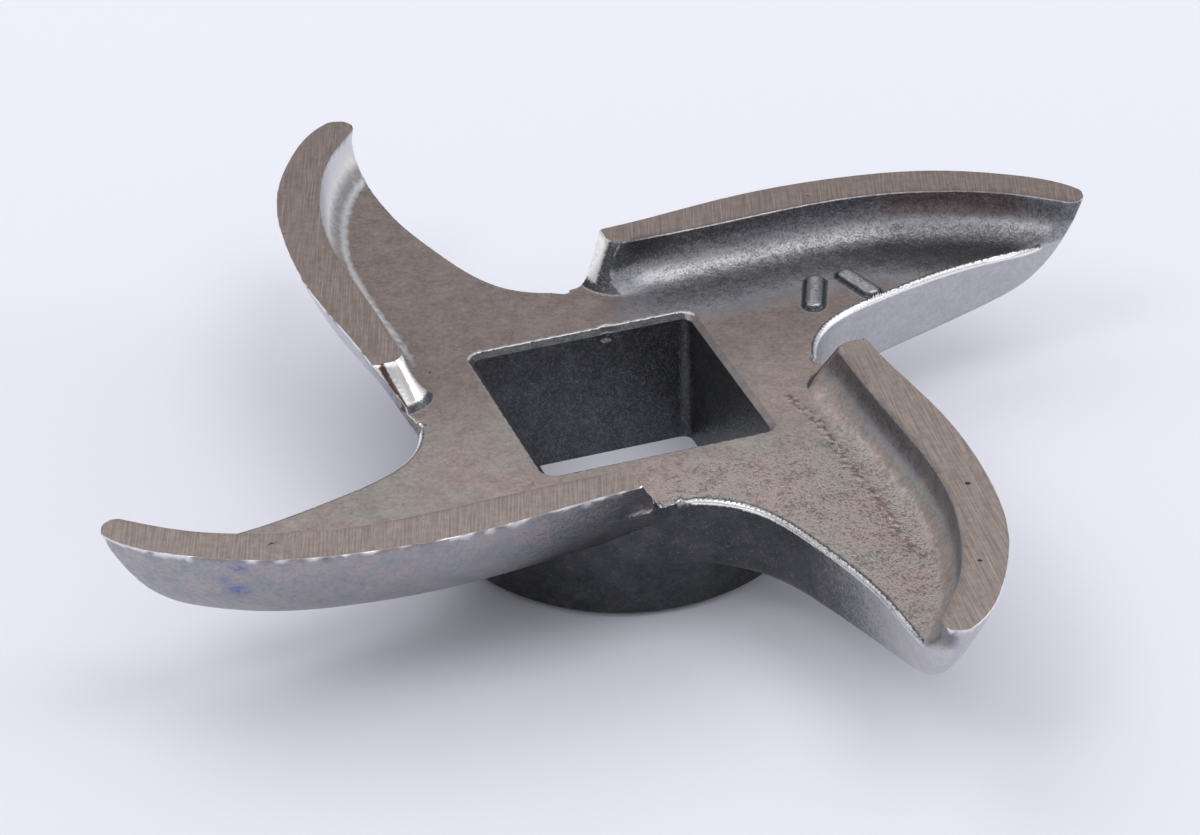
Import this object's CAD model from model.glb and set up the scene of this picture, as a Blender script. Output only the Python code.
import bmesh
import bpy
import numpy as np
from mathutils import Matrix, Vector, noise


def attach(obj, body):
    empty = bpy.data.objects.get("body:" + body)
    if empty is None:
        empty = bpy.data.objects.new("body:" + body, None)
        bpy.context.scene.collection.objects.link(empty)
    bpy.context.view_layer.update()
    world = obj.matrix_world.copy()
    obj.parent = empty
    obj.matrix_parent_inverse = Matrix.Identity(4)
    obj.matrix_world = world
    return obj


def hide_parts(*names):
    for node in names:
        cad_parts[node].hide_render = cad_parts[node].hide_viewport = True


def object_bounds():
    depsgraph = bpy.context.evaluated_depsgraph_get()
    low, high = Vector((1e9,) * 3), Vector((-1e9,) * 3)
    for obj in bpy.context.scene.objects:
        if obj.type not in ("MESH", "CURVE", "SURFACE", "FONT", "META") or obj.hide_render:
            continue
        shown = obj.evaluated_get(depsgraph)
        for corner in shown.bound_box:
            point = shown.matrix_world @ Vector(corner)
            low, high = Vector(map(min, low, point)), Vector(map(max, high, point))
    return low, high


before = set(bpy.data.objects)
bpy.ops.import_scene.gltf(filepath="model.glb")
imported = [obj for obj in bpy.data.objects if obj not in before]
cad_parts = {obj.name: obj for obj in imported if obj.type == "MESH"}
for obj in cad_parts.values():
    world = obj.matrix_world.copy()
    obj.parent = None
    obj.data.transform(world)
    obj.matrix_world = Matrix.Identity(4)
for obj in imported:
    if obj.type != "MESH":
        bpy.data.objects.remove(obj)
cad_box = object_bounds()


# The knife: one steel casting. Four sickle arms stand out of a drafted hub with a square
# drive hole. It was tumbled after casting, and then its four lands were ground flat.

mm = 0.001
land_height = cad_box[1][2]
rib_height = 2.5 * mm
floor_height = land_height - rib_height
foot_radius = 2.0 * mm
hole_half = 6.35 * mm
burr_width = 0.06 * mm

# the arms stand a quarter turn apart
right_arm, far_arm, left_arm, front_arm = range(4)

# the root end of a rib, in the frame of its own arm, and its corner with the outside of the arm
rib_end = 3.42 * mm
rib_corner = np.array(((0.97, 11.29), (1.67, 11.36), (2.25, 11.59),
                       (2.99, 12.09), (3.41, 12.58), (3.42, 12.74))) * mm

# plain raised bars on the floor of the right arm: x, y, length, direction
marks = ((13.6 * mm, 5.7 * mm, 2.5 * mm, np.radians(66)),
         (16.3 * mm, 5.8 * mm, 2.2 * mm, np.radians(106)))
mark_height = 0.36 * mm
mark_width = 1.15 * mm

# small pits in the lands and the floor: x, y, radius
pits = np.array(((9.9, -25.15, 0.16), (12.17, -18.51, 0.2), (-13.34, 18.94, 0.16),
                 (-14.4, -13.76, 0.15), (-14.8, -13.72, 0.12), (-8.96, 5.64, 0.13),
                 (9.1, -23.4, 0.1), (-22.6, -10.9, 0.1), (15.8, 12.1, 0.1))) * mm
pit_depth = 0.04 * mm

# a dent in the far rim of the drive hole
dent = np.array((1.5, 6.45)) * mm
dent_radius = 0.55 * mm
dent_push = 0.22 * mm
dent_drop = 0.1 * mm

# the seam that the mould left on the floor of the front arm, along the foot of its rib
seam = np.array(((8.27, -3.92), (8.74, -7.01), (8.58, -11.15),
                 (8.71, -15.29), (8.64, -18.75), (8.87, -20.79))) * mm
seam_width = 0.35 * mm
seam_height = 0.01 * mm
seam_roughness = 0.10 * mm

# the cast skin is a little wavy
wave_length = 2.6 * mm
wave_height = 0.014 * mm

# longest edges of the facets: of the plain skin, and of the places that need finer ones
plain_facet = 0.62 * mm
rib_end_facet = 0.25 * mm
rim_facet = 0.19 * mm
seam_facet = 0.14 * mm
mark_facet = 0.13 * mm
corner_facet = 0.12 * mm
pit_facet = 0.08 * mm


def rise(value, low, high):
    """Rises smoothly from 0 at low to 1 at high."""
    part = np.clip((value - low) / (high - low), 0, 1)
    return part * part * (3 - 2 * part)


def fall(value, low, high):
    """Falls smoothly from 1 at low to 0 at high."""
    return 1 - rise(value, low, high)


def off_line(points, x, y):
    """Distance from the line through some points."""
    nearest = np.full(np.shape(x), np.inf)
    for start, end in zip(points[:-1], points[1:]):
        step = end - start
        part = np.clip(((x - start[0]) * step[0] + (y - start[1]) * step[1]) / step.dot(step), 0, 1)
        nearest = np.minimum(nearest, np.hypot(x - start[0] - part * step[0], y - start[1] - part * step[1]))
    return nearest


def off_marks(x, y):
    """Distance from the middle lines of the raised bars."""
    nearest = np.full(np.shape(x), np.inf)
    for mark_x, mark_y, length, direction in marks:
        along = np.array((np.cos(direction), np.sin(direction)))
        reach = np.clip((x - mark_x) * along[0] + (y - mark_y) * along[1], -length / 2, length / 2)
        nearest = np.minimum(nearest, np.hypot(x - mark_x - reach * along[0], y - mark_y - reach * along[1]))
    return nearest


def seen_from(arm, values):
    """x and y of places or directions, in the frame of one arm."""
    x, y = values[:, 0], values[:, 1]
    return ((x, y), (y, -x), (-x, -y), (-y, x))[arm]


def facet_size(places):
    """Longest edge wanted at each place, finer at the edges, marks, pits and rib ends."""
    x, y, z = places.T
    size = np.full(len(places), plain_facet)
    aside, ahead = np.minimum(abs(x), abs(y)), np.maximum(abs(x), abs(y))
    on_top = z > floor_height - 0.1 * mm
    on_ribs = on_top & (aside < 4.6 * mm) & (ahead > 9 * mm) & (ahead < 14 * mm)
    size[on_ribs] = rib_end_facet
    size[on_top & (off_line(seam, x, y) < 0.5 * mm)] = seam_facet
    size[(off_marks(x, y) < 0.9 * mm) & (abs(z - floor_height) < 0.1 * mm)] = mark_facet
    below_land = (z > floor_height - 0.4 * mm) & (z < land_height - 0.1 * mm)
    for arm in range(4):
        size[below_land & (off_line(rib_corner, *seen_from(arm, places)) < 0.4 * mm)] = corner_facet
    for pit_x, pit_y, reach in pits:
        size[on_top & (np.hypot(x - pit_x, y - pit_y) < 2 * reach)] = pit_facet
    return size


# a copy of the casting, with a strip for the burr bevelled along the rims of its lands
casting = bmesh.new()
casting.from_mesh(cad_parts["grinder_knife"].data)
bmesh.ops.remove_doubles(casting, verts=casting.verts, dist=0.002 * mm)
casting.normal_update()
land_faces = {face for face in casting.faces
              if face.normal.z > 0.99 and face.calc_center_median().z > land_height - 0.01 * mm}
land_rim = [edge for edge in casting.edges if sum(face in land_faces for face in edge.link_faces) == 1]
bmesh.ops.bevel(casting, geom=land_rim, offset=burr_width, segments=1, affect="EDGES", clamp_overlap=False)
bmesh.ops.triangulate(casting, faces=casting.faces[:])
casting.verts.index_update()
skin = np.array([vert.co for vert in casting.verts])
facets = np.array([[vert.index for vert in face.verts] for face in casting.faces])
casting.free()

# the triangles are put in a fixed order, so that each run gives the same mesh
lowest_first = (facets.argmin(axis=1)[:, None] + np.arange(3)) % 3
facets = np.take_along_axis(facets, lowest_first, axis=1)
facets = facets[np.lexsort(facets.T)]


def sides_of(facets):
    """The edges of a net of triangles, and for each triangle the numbers of its three edges."""
    sides = np.sort(facets[:, [[0, 1], [1, 2], [2, 0]]].reshape(-1, 2), axis=1)
    edges, numbers = np.unique(sides, axis=0, return_inverse=True)
    return edges, numbers.reshape(-1, 3)


def halved(skin, facets, ends, sides, cut):
    """The net with each chosen edge cut in two, and its triangles split to match."""
    added = np.cumsum(cut) - 1 + len(skin)
    cuts = cut[sides]
    count = cuts.sum(axis=1)
    # each triangle is turned so that its cut edges come first
    turn = np.select((count == 1, count == 2), (cuts.argmax(axis=1), (1 + (~cuts).argmax(axis=1)) % 3), 0)
    order = (turn[:, None] + np.arange(3)) % 3
    a, b, c = np.take_along_axis(facets, order, axis=1).T
    d, e, f = added[np.take_along_axis(sides, order, axis=1)].T
    parts = ((0, (a, b, c)),
             (1, (a, d, c)), (1, (d, b, c)),
             (2, (d, b, e)), (2, (a, d, e)), (2, (a, e, c)),
             (3, (a, d, f)), (3, (d, b, e)), (3, (f, e, c)), (3, (d, e, f)))
    facets = np.concatenate([np.stack(corners, axis=1)[count == cuts_made] for cuts_made, corners in parts])
    return np.concatenate((skin, skin[ends[cut]].mean(axis=1))), facets


# long edges are cut in two until every facet is small enough, finest along the rims of the floor
for _ in range(12):
    ends, sides = sides_of(facets)
    size = facet_size(skin[ends].mean(axis=1))
    below_rim = (skin[:, 2] < floor_height - 0.03 * mm) & (skin[:, 2] > floor_height - 0.5 * mm)
    at_rim = below_rim[facets].any(axis=1)
    beside = np.zeros(len(skin), dtype=bool)
    beside[facets[at_rim].ravel()] = True
    for chosen, finest in ((beside[facets].any(axis=1), 1.4 * rim_facet), (at_rim, rim_facet)):
        size[sides[chosen].ravel()] = np.minimum(size[sides[chosen].ravel()], finest)
    cut = np.linalg.norm(skin[ends[:, 0]] - skin[ends[:, 1]], axis=1) > size
    if not cut.any():
        break
    skin, facets = halved(skin, facets, ends, sides, cut)


def facings():
    """The unit normal of each facet."""
    first, second, third = skin[facets].transpose(1, 0, 2)
    across = np.cross(second - first, third - first)
    return across / np.maximum(np.linalg.norm(across, axis=1), 1e-20)[:, None]


def normals():
    """The unit normal of the skin at each of its points."""
    facing = facings()
    total = [np.bincount(facets.ravel(), np.repeat(facing[:, k], 3), len(skin)) for k in range(3)]
    total = np.stack(total, axis=1)
    return total / np.linalg.norm(total, axis=1)[:, None]


# lands, the rims of the floor with their bevels, and the folds of the casting
soft_angle = np.radians(26)
ends, sides = sides_of(facets)
facing = facings()
pairs = (np.argsort(sides.ravel(), kind="stable") // 3).reshape(-1, 2)
folds = (facing[pairs[:, 0]] * facing[pairs[:, 1]]).sum(axis=1) < np.cos(soft_angle)
on_fold = np.zeros(len(skin), dtype=bool)
on_fold[ends[folds].ravel()] = True
height = skin[facets].mean(axis=1)[:, 2]
is_land = height > land_height - 0.005 * mm
is_bevel = ((facing[:, 2] > 0.5) & (facing[:, 2] < 0.9)
            & (height > floor_height - 0.45 * mm) & (height < floor_height))
on_bevel = np.zeros(len(skin), dtype=bool)
on_bevel[facets[is_bevel].ravel()] = True
rim = on_bevel & (skin[:, 2] < floor_height - 0.03 * mm)
rim_line = on_bevel & ~rim
at_land = skin[:, 2] > land_height - 0.005 * mm
near_land = skin[:, 2] > land_height - 1.1 * burr_width
near_hole = np.abs(skin[:, :2]).max(axis=1) < hole_half + 0.4 * mm

# the folds at the lands, the hole and the foot stay sharp, and the other ones are rounded off
low = skin[:, 2] < floor_height - 0.6 * mm
locked = folds & (near_land[ends].all(axis=1) | near_hole[ends].all(axis=1) | low[ends].all(axis=1))
fixed = near_land.copy()
fixed[ends[locked].ravel()] = True
neighbours = np.bincount(ends.ravel(), minlength=len(skin))


def smoothed(values, pull):
    """Each value moved towards the average of its neighbours."""
    total = [np.bincount(ends[:, 0], values[ends[:, 1], k], len(values))
             + np.bincount(ends[:, 1], values[ends[:, 0], k], len(values)) for k in range(3)]
    return values + pull * (np.stack(total, axis=1) / neighbours[:, None] - values)


# each step in is followed by a slightly larger one out, so that the casting keeps its size
cast_skin = skin
for _ in range(8):
    for pull in (0.5, -0.52):
        skin = np.where(fixed[:, None], skin, smoothed(skin, pull))

# the rim runs on round each rib's end and up to its land, and its bevel fades out there
bevel_end = np.array((0.97, 11.2)) * mm
soft_end = np.zeros(len(skin))
for arm in range(4):
    x, y = seen_from(arm, cast_skin)
    z = cast_skin[:, 2]
    on_corner = on_fold & (off_line(rib_corner, x, y) < 0.03 * mm)
    on_corner = on_corner & (z > floor_height - 0.02 * mm) & ~near_land
    off_end = np.hypot(x - bevel_end[0], y - bevel_end[1])
    bevel_depth = 0.1 * mm + 0.35 * mm * rise(bevel_end[0] - x, 0, 1.4 * mm)
    past_bevel = (off_end < 1.6 * mm) & (y > 10.5 * mm) & (z < floor_height - bevel_depth)
    rim = (rim & ~past_bevel) | on_corner
    soft_end = np.maximum(soft_end, fall(np.hypot(x - 1.0 * mm, y - bevel_end[1]), 0.5 * mm, 1.0 * mm))
soft_end[cast_skin[:, 2] < floor_height - mm] = 0
for _ in range(14):
    skin = skin + (smoothed(skin, 0.6) - skin) * soft_end[:, None]


def lumps(places, size):
    """Smooth noise between about -1 and 1, with lumps of one size."""
    return np.array([noise.noise(Vector(place) / size) for place in places])


# the waves of the skin, and then the raised bars, the seam, the pits and the dent
outward = normals()
on_top = (outward[:, 2] > 0.8) & (skin[:, 2] > floor_height - 0.3 * mm)
on_floor = on_top & ~near_land
wavy = ~fixed & ~near_hole
skin = skin + outward * (wavy * lumps(skin, wave_length) * wave_height)[:, None]
x, y = skin[:, 0], skin[:, 1]
skin[:, 2] += on_floor * np.sqrt(np.clip(1 - (off_marks(x, y) / mark_width * 2) ** 2, 0, 1)) * mark_height
beside_seam = off_line(seam, x, y) / seam_width
ripple = lumps(skin, 0.3 * mm)
skin[:, 2] += on_floor * np.clip(1 - beside_seam, 0, 1) * (seam_height + seam_roughness * ripple)
pitted = np.zeros(len(skin))
for pit_x, pit_y, reach in pits:
    pitted = np.maximum(pitted, on_top * fall(np.hypot(x - pit_x, y - pit_y), 0.3 * reach, reach))
skin[:, 2] -= pitted * pit_depth
dented = fall(np.hypot(x - dent[0], y - dent[1]), 0.1 * mm, dent_radius)
dented[skin[:, 2] < floor_height - 0.7 * mm] = 0
skin[:, 1] += dented * dent_push
skin[:, 2] -= dented * dent_drop

# the end of each rib over the hub slopes down in one straight flank
flank_reach = 1.62 * mm
flank_course = Vector((-0.83, -0.56, 0))
above_floor = np.clip(skin[:, 2] - floor_height, 0, rib_height)
hollow_run = foot_radius - np.sqrt(foot_radius ** 2 - np.clip(foot_radius - above_floor, 0, foot_radius) ** 2)
flank_run = flank_reach * (1 - above_floor / rib_height)
push = np.maximum(flank_run - hollow_run, 0) * (above_floor > 0.01 * mm) * ~near_land
end_zone = np.zeros(len(skin))
for arm in range(4):
    x, y = seen_from(arm, skin)
    zone = (y > 6 * mm) * (y < 16 * mm) * (x > -1 * mm) * fall(x, rib_end + 0.3 * mm, rib_end + 1.7 * mm)
    end_zone = np.maximum(end_zone, zone)
    course = Matrix.Rotation(arm * np.pi / 2, 3, "Z") @ flank_course
    skin = skin + np.array(course) * (push * zone)[:, None]
outward = normals()


def strongest(*layers):
    """The strongest of several layers of wear or scale at each point."""
    return np.maximum.reduce(layers)


# Wear and scale lie on the points of the skin, and from here on places are in millimetres:
# how bright the tumbling polished it, how dark or rusty its scale is, and where it is sandy.
place = skin / mm
over_floor = place[:, 2] - floor_height / mm
below_land = over_floor < 2.4
radius = np.hypot(place[:, 0], place[:, 1])
faces_up = rise(outward[:, 2], 0.35, 0.7)
polish, dark, rust, sand = np.zeros((4, len(skin)))
grind = np.zeros((len(skin), 3))

# by arm: the right, the far, the left and the front one
outer_polish = (0.3, 0.5, 0.15, 0.4)
hollow_dark = (0.58, 0.1, 0.3, 0.4)
grind_direction = np.radians((70.7, 70.7, 70.7, 82.6))

# a shadow of dark scale along the middle of the right arm's floor
dark_course = np.array(((3, 9), (8, 8.6), (14, 9.2), (20, 8.2), (24, 6.4), (27, 4.6)))

for arm in range(4):
    x, y = seen_from(arm, place)
    across, aside = seen_from(arm, outward)
    bearing = np.degrees(np.arctan2(y, x))
    own = rise(bearing, -12, -10) * fall(bearing, 80, 82)
    end_face = own * end_zone * rise(-across, 0.15, 0.4) * rise(over_floor, 0.12, 0.4)
    hollow = own * rise(over_floor, 0.6, 1.4) * rise(-aside, 0.1, 0.5) * (1 - end_face)
    outer_wall = own * (1 - faces_up) * rise(radius, 11, 15) * below_land * (1 - hollow)
    polish = strongest(polish, end_face * (arm != front_arm), outer_polish[arm] * outer_wall)
    dark = strongest(dark, (hollow_dark[arm] + 0.25 * fall(x, 4, 8) * (arm == right_arm)) * hollow)

    # brown streaks run down the end face, and scale stayed in its foot
    side = 0.83 * (y - 12) - 0.56 * (x - rib_end / mm)
    streak = (fall(side, -0.75, -0.35), rise(side, 0.1, 0.2) * fall(side, 0.4, 0.5), 0, 1)[arm]
    end_foot = own * end_zone * rise(over_floor, 0.01, 0.05) * fall(over_floor, 0.3, 0.55)
    dark = strongest(dark, 0.9 * streak * end_face, 0.8 * end_foot * rise(-across, 0.05, 0.3))
    rust = strongest(rust, streak * end_face * (arm != right_arm))

    # the right arm has a bright band in its hollow, a brown patch near its tip and a dark floor
    if arm == right_arm:
        foot = own * rise(over_floor, 0, 0.2) * (1 - end_face) * below_land
        dark = strongest(dark, 0.4 * foot)
        band = own * rise(-aside, 0.3, 0.5) * fall(-aside, 0.65, 0.85) * (over_floor > 0) * (1 - end_face)
        band = band * rise(x, 4, 7) * (1 - 0.6 * rise(x, 16, 24))
        polish = strongest(polish, 0.5 * band)
        dark = dark * (1 - 0.6 * band)
        rust = strongest(rust, 0.5 * hollow * rise(x, 18, 21) * fall(x, 26, 29))
        shade = faces_up * (over_floor < 1) * fall(off_line(dark_course, x, y), 0.5, 4.5)
        shade = shade * rise(bearing, -12, -4) * fall(bearing, 50, 80)
        dark = strongest(dark, (0.55 + 0.25 * rise(x, 14, 22)) * shade)

    # the far arm is bright along the foot of its rib and up the wall near its tip
    if arm == far_arm:
        foot = own * rise(over_floor, 0.05, 0.1) * fall(over_floor, 0.14, 0.24) * rise(-aside, 0.02, 0.1)
        tip_wall = own * rise(over_floor, 0.03, 0.3) * below_land * rise(x, 16, 21) * (aside < 0.1)
        bright = strongest(foot, (0.2 + 0.9 * rise(over_floor, 0.5, 0.8)) * tip_wall)
        polish = strongest(polish, 0.5 * bright * (1 - end_face) * rise(x, 6, 9))

    # the floor of the front arm is sandy
    if arm == front_arm:
        sand = own * faces_up * fall(over_floor, 0.1, 0.35) * rise(x, 6, 11)
        foot = own * (1 - faces_up) * rise(over_floor, 0.1, 0.3) * (over_floor < 1)
        polish = strongest(polish, 0.12 * foot)

    # the marks of the grinding run straight across each land
    sine, cosine = np.sin(grind_direction[arm]), np.cos(grind_direction[arm])
    here = (bearing > -11) & (bearing < 81)
    grind[here] = np.stack((skin[:, 1] * cosine - skin[:, 0] * sine,
                            skin[:, 0] * cosine + skin[:, 1] * sine,
                            np.full(len(skin), 7 * mm * arm)), axis=1)[here]

# the hub, the walls in the gap in front of it and the pits stayed dark, and the seam is rusty
faces_down = fall(outward[:, 2], 0.15, 0.5)
front_gap = fall(np.linalg.norm(place - (2, -10, 4), axis=1), 6, 18)
dotted = on_floor * np.clip(1.5 - beside_seam, 0, 1) * rise(ripple, -0.05, 0.2)
dark = strongest(dark, 0.8 * front_gap * faces_down * (over_floor < 2.45),
                 0.95 * fall(radius, 10, 13) * (over_floor < -0.3),
                 np.clip(1.8 * pitted, 0, 0.95), 0.5 * dotted)
rust = strongest(rust, dotted)

# the raised bars are worn bright on top, with a dark line round them
off_bar = (off_marks(skin[:, 0], skin[:, 1]) - mark_width / 2) / mm
dark = strongest(dark, 0.95 * on_floor * rise(off_bar, -0.22, -0.08) * fall(off_bar, 0.05, 0.25))
polish = strongest(polish, 0.45 * on_floor * fall(off_bar, -0.45, -0.3))

# the arms at the back are browner
brown = rise(place[:, 1], -4, 5)

# the rims of the floor are worn bright under a dark line, and those of the hole stay dull
in_hole = near_hole & (over_floor > -0.3)
far_side = in_hole & (skin[:, 1] > hole_half - 0.25 * mm)
right_side = in_hole & (skin[:, 0] > hole_half - 0.2 * mm)
dark = np.where(near_hole & (over_floor < -0.03), 0.68, strongest(dark * (1 - rim), 0.8 * rim_line))
dark = np.where(far_side, 0.9 * rim, dark)
dark = np.where(right_side, 0.1, dark)
polish = strongest(polish, rim * ~near_hole, 0.8 * dented)
polish = np.where(far_side, 0.5 * rim_line, polish)

# a blue stain on the outside of the left arm: places and reach
stain = np.zeros(len(skin))
for spot, reach in (((-24.59, -11.51, 9.84), 0.8), ((-24.34, -10.57, 7.84), 1.1), ((-25.3, -10.9, 8.6), 0.7)):
    stain = strongest(stain, fall(np.linalg.norm(place - spot, axis=1), 0.1, reach))

# a burr stands bright along the outer edges of the lands, broken in places: by arm, where it breaks
burr = lumps(skin * near_land[:, None], 0.7 * mm)
burr_break = (-0.5, -0.3, 0.0, -0.2)
for arm in range(4):
    x, y = seen_from(arm, place)
    across, aside = seen_from(arm, outward)
    bearing = np.degrees(np.arctan2(y, x))
    faces_out = (aside > -0.2) | (across > 0.5)
    on_burr = near_land & ~at_land & faces_out & (bearing > -12) & (bearing < 82)
    broken = burr_break[arm] - 0.6 * rise(x, 26, 28)
    polish = np.where(on_burr, strongest(polish, rise(burr - broken, 0, 0.1)), polish)
    dark = np.where(on_burr, dark * rise(-burr, -0.1, 0.3), dark)
polish = polish * (1 - dark)

knife_mesh = bpy.data.meshes.new("knife_casting")
knife_mesh.from_pydata(skin.tolist(), [], facets.tolist(), shade_flat=False)
knife_mesh.polygons.foreach_set("material_index", is_land.astype(int))
made = np.zeros(2 * len(knife_mesh.edges), dtype=int)
knife_mesh.edges.foreach_get("vertices", made)
kept_sharp = {tuple(pair) for pair in ends[locked].tolist()}
knife_mesh.attributes.new("sharp_edge", "BOOLEAN", "EDGE").data.foreach_set(
    "value", [tuple(sorted(pair)) in kept_sharp for pair in made.reshape(-1, 2).tolist()])
for name, values in (("dark", dark), ("polish", polish), ("rust", rust),
                     ("sand", sand), ("stain", stain), ("brown", brown)):
    knife_mesh.attributes.new(name, "FLOAT", "POINT").data.foreach_set("value", values)
knife_mesh.attributes.new("grind", "FLOAT_VECTOR", "POINT").data.foreach_set("vector", grind.ravel())
knife = bpy.data.objects.new("knife_casting", knife_mesh)
bpy.context.scene.collection.objects.link(knife)


class Value:
    """A socket's value in a node tree, on which arithmetic adds Math nodes."""

    def __init__(self, tree, socket):
        self.tree, self.socket = tree, socket

    def math(self, operation, other, **settings):
        return self.tree.add("ShaderNodeMath", {"operation": operation, **settings}, {0: self, 1: other})

    def __add__(self, other):
        return self.math("ADD", other)

    def __mul__(self, other):
        return self.math("MULTIPLY", other)

    def __sub__(self, other):
        return self.math("SUBTRACT", other)

    def __rsub__(self, other):
        return (self * -1) + other

    __radd__ = __add__
    __rmul__ = __mul__

    def clamped(self):
        return self.math("ADD", 0.0, use_clamp=True)

    def spread(self, low, high, start=0.0, end=1.0):
        """Maps low..high smoothly to start..end, clamped."""
        return self.tree.add("ShaderNodeMapRange", {"interpolation_type": "SMOOTHSTEP"},
                             {0: self, 1: low, 2: high, 3: start, 4: end})


class Finish:
    """The node tree of a material or of the sky, into which every node goes by add()."""

    def __init__(self, owner, shader="Principled BSDF", place="Object"):
        owner.use_nodes = True
        self.owner = owner
        self.nodes = owner.node_tree.nodes
        self.links = owner.node_tree.links
        self.shader = self.nodes[shader]
        self.place = self.add("ShaderNodeTexCoord", {}, {}, out=place)

    def plug(self, socket, value):
        if isinstance(value, Value):
            self.links.new(value.socket, socket)
        else:
            socket.default_value = (*value, 1) if socket.type == "RGBA" else value

    def add(self, kind, settings, values, out=0):
        """A node of one kind, with its settings and the values or links of its sockets."""
        node = self.nodes.new(kind)
        for name, value in settings.items():
            setattr(node, name, value)
        for socket, value in values.items():
            self.plug(node.inputs[socket], value)
        return Value(self, node.outputs[out])

    def painted(self, name, out="Fac"):
        """A value that the mesh carries at its points."""
        return self.add("ShaderNodeAttribute", {"attribute_name": name}, {}, out=out)

    def grain(self, size, detail=3.0, rough=0.6, stretch=(1, 1, 1), place=None):
        """Noise whose blotches are about size across, stretched along the axes."""
        placed = self.add("ShaderNodeMapping", {"vector_type": "TEXTURE"},
                          {"Vector": place or self.place, "Scale": tuple(size * part for part in stretch)})
        return self.add("ShaderNodeTexNoise", {},
                        {"Vector": placed, "Scale": 1.0, "Detail": detail, "Roughness": rough}, out="Fac")

    def mix(self, factor, first, second):
        """A blend of two colours. The sockets 6 and 7 of the node are those for colours."""
        return self.add("ShaderNodeMix", {"data_type": "RGBA"}, {0: factor, 6: first, 7: second}, out=2)

    def relief(self, height, depth):
        return self.add("ShaderNodeBump", {},
                        {"Height": height, "Distance": depth, "Strength": 1.0}, out="Normal")

    def give(self, socket, value):
        self.plug(self.shader.inputs[socket], value)


# the cast skin: blasted and tumbled steel, in colours that each run from a dark to a light tone
brown_skin = (0.235, 0.185, 0.172), (0.42, 0.345, 0.325)
grey_skin = (0.23, 0.21, 0.2), (0.39, 0.355, 0.34)
far_skin = (0.15, 0.115, 0.108), (0.28, 0.228, 0.215)
blue_wall = (0.21, 0.21, 0.237), (0.35, 0.35, 0.385)
warm_wall = (0.25, 0.21, 0.215), (0.40, 0.345, 0.35)
bright_steel = (0.88, 0.87, 0.88), (0.97, 0.96, 0.97)
black_scale = (0.020, 0.021, 0.024), (0.10, 0.102, 0.112)
rusty_scale = (0.050, 0.024, 0.022), (0.16, 0.085, 0.078)
pore_color = (0.08, 0.066, 0.06)
stain_color = (0.13, 0.16, 0.45)

steel = Finish(bpy.data.materials.new("cast steel skin"))
cloud = steel.grain(3.5 * mm, 4)
blotch = steel.grain(1.1 * mm, 4, 0.65)
freckle = steel.grain(0.3 * mm, 3, 0.7)
speck = steel.grain(0.12 * mm, 2, 0.6)
scaly, shine, rusty = steel.painted("dark"), steel.painted("polish"), steel.painted("rust")
sandy, stained, back = steel.painted("sand"), steel.painted("stain"), steel.painted("brown")

mottle = blotch * 0.35 + freckle * 0.4 + speck * 0.3 - 0.525
tone = (mottle * (sandy * 1.6 + 1) + 0.525 + sandy * 0.13).spread(0.33, 0.72)
flat_skin = steel.mix((cloud.spread(0.4, 0.6) + shine * 3).clamped(),
                      steel.mix(tone, *brown_skin), steel.mix(tone, *grey_skin))
flat_skin = steel.mix(back * 0.9, flat_skin, steel.mix(tone, *far_skin))
wall_skin = steel.mix(blotch.spread(0.48, 0.6) * (0.9 - back * 0.9),
                      steel.mix(tone, *blue_wall), steel.mix(tone, *warm_wall))
color = steel.mix((shine * 6 + scaly * 3 - rusty * 3).clamped(), flat_skin, wall_skin)
color = steel.mix(shine, color, steel.mix(tone, *bright_steel))
scale = steel.mix(rusty, steel.mix(tone, *black_scale), steel.mix(tone, *rusty_scale))
fleck = (freckle * 0.6 + speck * 0.6 - 0.6) * 1.8 * (scaly * 8).clamped()
color = steel.mix((scaly + fleck).spread(0.1, 0.9), color, scale)
pore = (0.65 - freckle * 0.4 - speck * 0.9) * sandy
color = steel.mix((pore * 2.4).clamped(), color, pore_color)
color = steel.mix(stained * freckle.spread(0.4, 0.6), color, stain_color)
steel.give("Base Color", color)
steel.give("Metallic", 0.85)

# polish makes the skin smoother, and so does scale
roughness = freckle.spread(0.3, 0.7, 0.56, 0.4)
roughness = roughness + shine * (0.2 - roughness)
roughness = roughness + (scaly * 1.5).clamped() * (0.33 - roughness)
steel.give("Roughness", roughness)
grit = (freckle * 0.7 + speck * 0.5) * (sandy * 5 + scaly * 2 + 1) * (1 - shine * 0.9)
steel.give("Normal", steel.relief(grit, 0.02 * mm))
knife_mesh.materials.append(steel.owner)

# the lands: ground flat, with fine straight grinding marks and a few dark pores
ground_steel = (0.245, 0.196, 0.182), (0.41, 0.34, 0.32)
far_ground = (0.175, 0.130, 0.118), (0.31, 0.245, 0.225)
scratch_color = (0.46, 0.41, 0.39)
ground_pore = (0.09, 0.07, 0.065)
pit_color = (0.03, 0.02, 0.018)

ground = Finish(bpy.data.materials.new("ground steel"))
grinding = ground.painted("grind", "Vector")
stroke = ground.grain(0.1 * mm, 2, 0.5, stretch=(1, 30, 1), place=grinding)
scratch = ground.grain(0.05 * mm, 1, 0.5, stretch=(1, 90, 1), place=grinding)
ground_tone = (stroke * 0.6 + ground.grain(0.5 * mm, 2) * 0.3 + scratch * 0.1).spread(0.3, 0.7)
color = ground.mix(ground.painted("brown") * 0.5,
                   ground.mix(ground_tone, *ground_steel), ground.mix(ground_tone, *far_ground))
color = ground.mix(scratch.spread(0.66, 0.76), color, scratch_color)
color = ground.mix(ground.grain(0.22 * mm, 2).spread(0.70, 0.76), color, ground_pore)
color = ground.mix(ground.painted("dark"), color, pit_color)
ground.give("Base Color", color)
ground.give("Metallic", 0.9)
ground.give("Roughness", 0.26)
ground.give("Normal", ground.relief(stroke, 0.006 * mm))
knife_mesh.materials.append(ground.owner)

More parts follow.
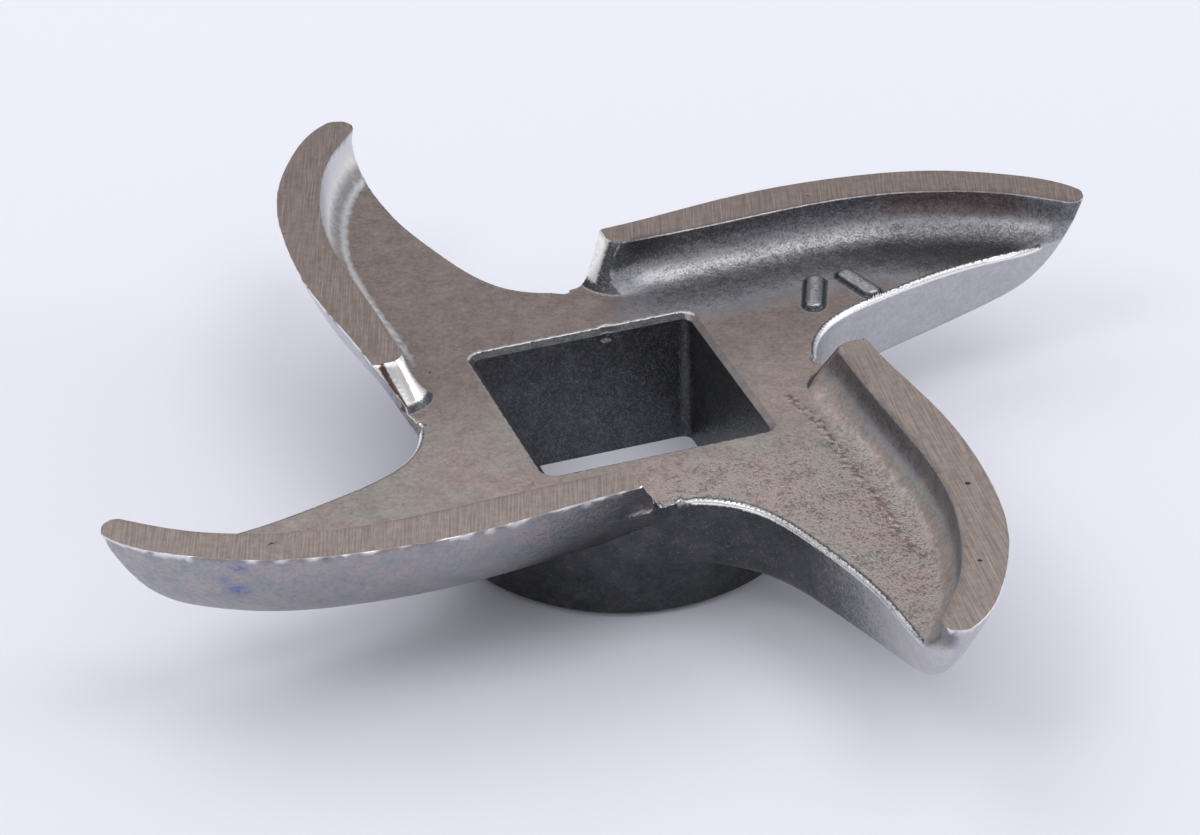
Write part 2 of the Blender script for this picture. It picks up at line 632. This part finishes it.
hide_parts("grinder_knife")
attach(knife, "root")


# The table top under the knife: a wide sheet of pale matt paper, a little lighter
# towards the back. The knife stands on it by the foot of its hub.

table_half = 3.0
near_paper = (0.67, 0.68, 0.76)
far_paper = (0.78, 0.79, 0.865)

table_mesh = bpy.data.meshes.new("table_top")
table_mesh.from_pydata([(-table_half, -table_half, 0), (table_half, -table_half, 0),
                        (table_half, table_half, 0), (-table_half, table_half, 0)], [], [(0, 1, 2, 3)])
table = bpy.data.objects.new("table_top", table_mesh)
bpy.context.scene.collection.objects.link(table)
paper = Finish(bpy.data.materials.new("table paper"))
far = paper.add("ShaderNodeSeparateXYZ", {}, {0: paper.place}, out="Y").spread(-0.1, 0.3)
paper.give("Base Color", paper.mix(far, near_paper, far_paper))
paper.give("Roughness", 0.8)
table_mesh.materials.append(paper.owner)


# Studio light: five round softboxes aimed at the knife, and a grey sky whose bands of light and
# dark show in the polished steel. The two largest hang overhead and behind the knife.

lamp_aim = Vector((0, 0, 0.01))

# place, diameter and power in watts
lamps = {"overhead softbox": ((0.17, -0.14, 0.56), 0.36, 0.62),
         "back softbox": ((-0.15, 0.28, 0.50), 0.40, 0.45),
         "front softbox": ((0.05, -0.46, 0.45), 0.25, 0.1),
         "left softbox": ((-0.36, -0.15, 0.52), 0.25, 0.55),
         "right softbox": ((0.55, -0.12, 0.20), 0.27, 0.7)}

for name, (stand, size, power) in lamps.items():
    light = bpy.data.lights.new(name, "AREA")
    light.shape = "DISK"
    light.size = size
    light.energy = power
    holder = bpy.data.objects.new(name, light)
    holder.location = stand
    holder.rotation_euler = (lamp_aim - Vector(stand)).to_track_quat("-Z", "Y").to_euler()
    bpy.context.scene.collection.objects.link(holder)

# the sky's light by height, from the horizon up
sky_bands = ((0.0, 1.0), (0.42, 0.22), (0.57, 0.95), (0.72, 0.8))
sky = Finish(bpy.data.worlds.new("studio"), "Background", "Generated")
sky_height = sky.add("ShaderNodeSeparateXYZ", {}, {0: sky.place}, out="Z")
sky_light = sky.add("ShaderNodeValToRGB", {}, {"Fac": sky_height}, out="Color")
bands = sky_light.socket.node.color_ramp.elements
for position, level in sky_bands[1:-1]:
    bands.new(position)
for band, (position, level) in zip(bands, sky_bands):
    band.position, band.color = position, (level, level, level, 1)
sky.give("Color", sky_light)
sky.give("Strength", 1.08)
bpy.context.scene.world = sky.owner


# The camera stands in front of the knife, a little to the left of the front arm, and looks
# down on it through a long lens. It leans a little to one side.

camera_stand = Vector((-68.987, -193.674, 136.298)) * mm
camera_aim = Vector((2.264, 9.886, 0)) * mm
camera_lean = np.radians(-1.062)

lens = bpy.data.cameras.new("camera")
lens.sensor_width = 36
lens.lens = 134.84
lens.clip_start = 0.01
camera = bpy.data.objects.new("camera", lens)
turn = (camera_aim - camera_stand).to_track_quat("-Z", "Y").to_matrix() @ Matrix.Rotation(camera_lean, 3, "Z")
camera.matrix_world = Matrix.Translation(camera_stand) @ turn.to_4x4()
bpy.context.scene.collection.objects.link(camera)
bpy.context.scene.camera = camera
bpy.context.scene.view_settings.view_transform = "Standard"
